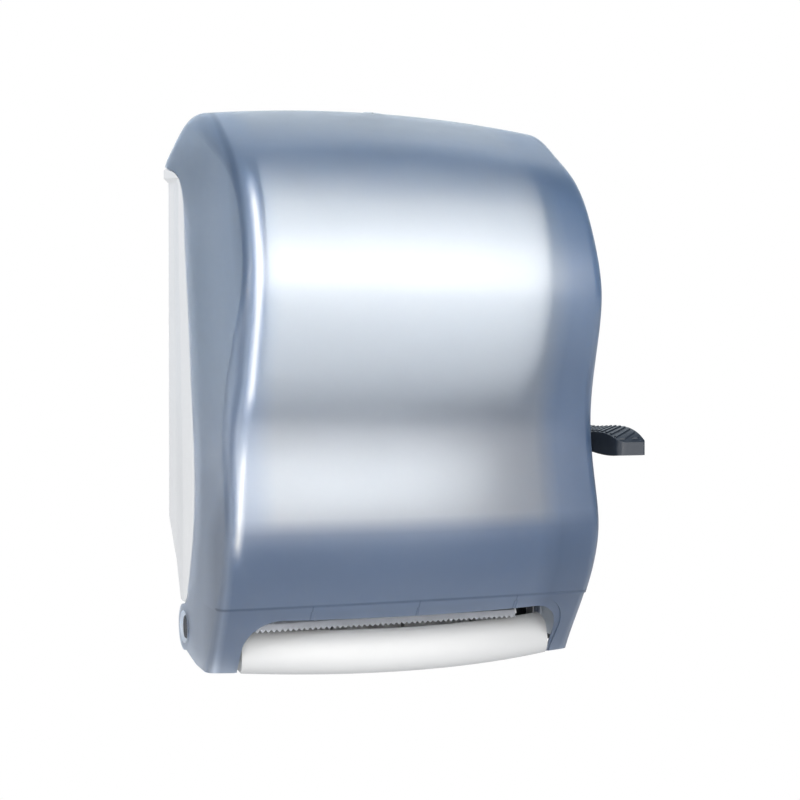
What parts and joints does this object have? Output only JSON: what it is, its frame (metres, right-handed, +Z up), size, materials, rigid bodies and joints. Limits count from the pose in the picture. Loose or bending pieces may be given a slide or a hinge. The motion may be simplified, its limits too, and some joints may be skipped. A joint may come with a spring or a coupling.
{
  "type": "lever roll towel dispenser",
  "caption": "Wall-mounted lever dispenser for roll paper towels: hinged smoke-blue cover, white housing and chin, black push lever driving geared feed rollers",
  "frame": {"origin": "centre of the four wall fixings on the wall plane", "axes": "+X across the width towards the lever's side, +Y into the wall, +Z up"},
  "size_m": [0.3285, 0.2354, 0.4193],
  "materials": {
    "cover_smoke": "frosted translucent smoke blue",
    "housing_white": "fine satin grain",
    "chin_white": "bright white, soft gloss",
    "lever_black": "satin black with grip ribs",
    "case_black": "fine texture",
    "core_black": "smooth",
    "plate_grey": "fine texture",
    "cradle_grey": "fine texture",
    "guide_white": "satin",
    "arm_white": "satin",
    "hub_white": "satin",
    "towel_white": "embossed tissue",
    "core_card": "spiral-wound card",
    "gear_white": "natural acetal",
    "wheel_white": "satin",
    "roller_white": "smooth",
    "pin_grey": "satin",
    "bush_nylon": "natural nylon",
    "sleeve_rubber": "finely ribbed",
    "stop_rubber": "dull",
    "bar_steel": "long brush marks",
    "shaft_steel": "turned",
    "steel_dark": "turned, oiled",
    "spring_steel": "drawn wire",
    "zinc": "bright zinc plate",
    "lock_metal": "satin nickel plate"
  },
  "bodies": {
    "frame": {"back_housing": "housing_white", "front_chin": "chin_white", "hinge_pin_right": "pin_grey", "hinge_pin_left": "pin_grey", "side_plate_left": "plate_grey", "side_plate_right": "plate_grey", "gear_cover": "case_black", "tear_bar": "bar_steel", "edge_guide": "guide_white", "paper_guide": "guide_white", "stub_cradle": "cradle_grey", "roll_arm_left": "arm_white", "arm_pin": "shaft_steel", "arm_spring": "spring_steel", "lock_keeper": "zinc", "lever_bush_outer": "bush_nylon", "lever_bush_inner": "bush_nylon", "feed_bush_left": "bush_nylon", "feed_bush_right": "bush_nylon", "return_spring": "spring_steel", "lever_stop": "stop_rubber", "pinch_pins": "zinc", "pinch_springs": "spring_steel", "chassis_screws": "zinc", "case_screws": "zinc", "pan_screws": "zinc"},
    "cover": {"front_cover": "cover_smoke"},
    "lock": {"lock_barrel": "lock_metal", "lock_cam": "zinc"},
    "lever": {"lever_arm": "lever_black", "lever_shaft": "shaft_steel", "sector_gear": "gear_white", "lever_screw": "zinc"},
    "feed_roller": {"feed_shaft": "shaft_steel", "feed_core": "core_black", "feed_sleeves": "sleeve_rubber", "drive_pinion": "gear_white", "clutch_hub": "steel_dark", "advance_wheel": "wheel_white"},
    "pinch_frame": {"pinch_frame": "plate_grey", "pinch_axle": "shaft_steel"},
    "pinch_roller": {"pinch_roller": "roller_white"},
    "right_arm": {"roll_arm_right": "arm_white"},
    "left_hub": {"core_hub_left": "hub_white", "towel_roll": "towel_white", "roll_core": "core_card"},
    "right_hub": {"core_hub_right": "hub_white"}
  },
  "joints": [
    {"name": "cover_hinge", "type": "hinge", "parent": "frame", "child": "cover", "pos_m": [0, -0.065, -0.2045], "axis": [1, 0, 0], "range_deg": [0, 100]},
    {"name": "lock_turn", "type": "hinge", "parent": "cover", "child": "lock", "pos_m": [0, -0.079, 0.19164], "axis": [0, -0.3256, 0.9455], "range_deg": [0, 90]},
    {"name": "lever_pivot", "type": "hinge", "parent": "frame", "child": "lever", "pos_m": [0, -0.06, -0.075], "axis": [1, 0, 0], "range_deg": [0, 50], "stiffness_Nm_per_rad": 0.3, "springref_deg": -68.75},
    {"name": "feed_roller_turn", "type": "hinge", "parent": "frame", "child": "feed_roller", "pos_m": [0, -0.11187, -0.14485], "axis": [1, 0, 0], "range_deg": [-242, 2]},
    {"name": "pinch_frame_swing", "type": "hinge", "parent": "frame", "child": "pinch_frame", "pos_m": [0, -0.066, -0.169], "axis": [1, 0, 0], "range_deg": [0, 15], "stiffness_Nm_per_rad": 0.1, "springref_deg": -57.3},
    {"name": "pinch_roller_turn", "type": "hinge", "parent": "pinch_frame", "child": "pinch_roller", "pos_m": [0, -0.08903, -0.16769], "axis": [1, 0, 0], "range_deg": [-2, 530]},
    {"name": "right_arm_swing", "type": "hinge", "parent": "frame", "child": "right_arm", "pos_m": [0.1005, -0.014, 0.057], "axis": [0, 0, 1], "range_deg": [0, 12], "stiffness_Nm_per_rad": 0.2, "springref_deg": -28.65},
    {"name": "left_hub_turn", "type": "hinge", "parent": "frame", "child": "left_hub", "pos_m": [-0.11, -0.113, 0.057], "axis": [1, 0, 0], "continuous": true},
    {"name": "right_hub_turn", "type": "hinge", "parent": "right_arm", "child": "right_hub", "pos_m": [0.078, -0.113, 0.057], "axis": [1, 0, 0], "continuous": true}
  ],
  "couplings": [
    {"joint": "feed_roller_turn", "follows": "lever_pivot", "ratio": -4.8},
    {"joint": "pinch_roller_turn", "follows": "lever_pivot", "ratio": 10.56}
  ]
}
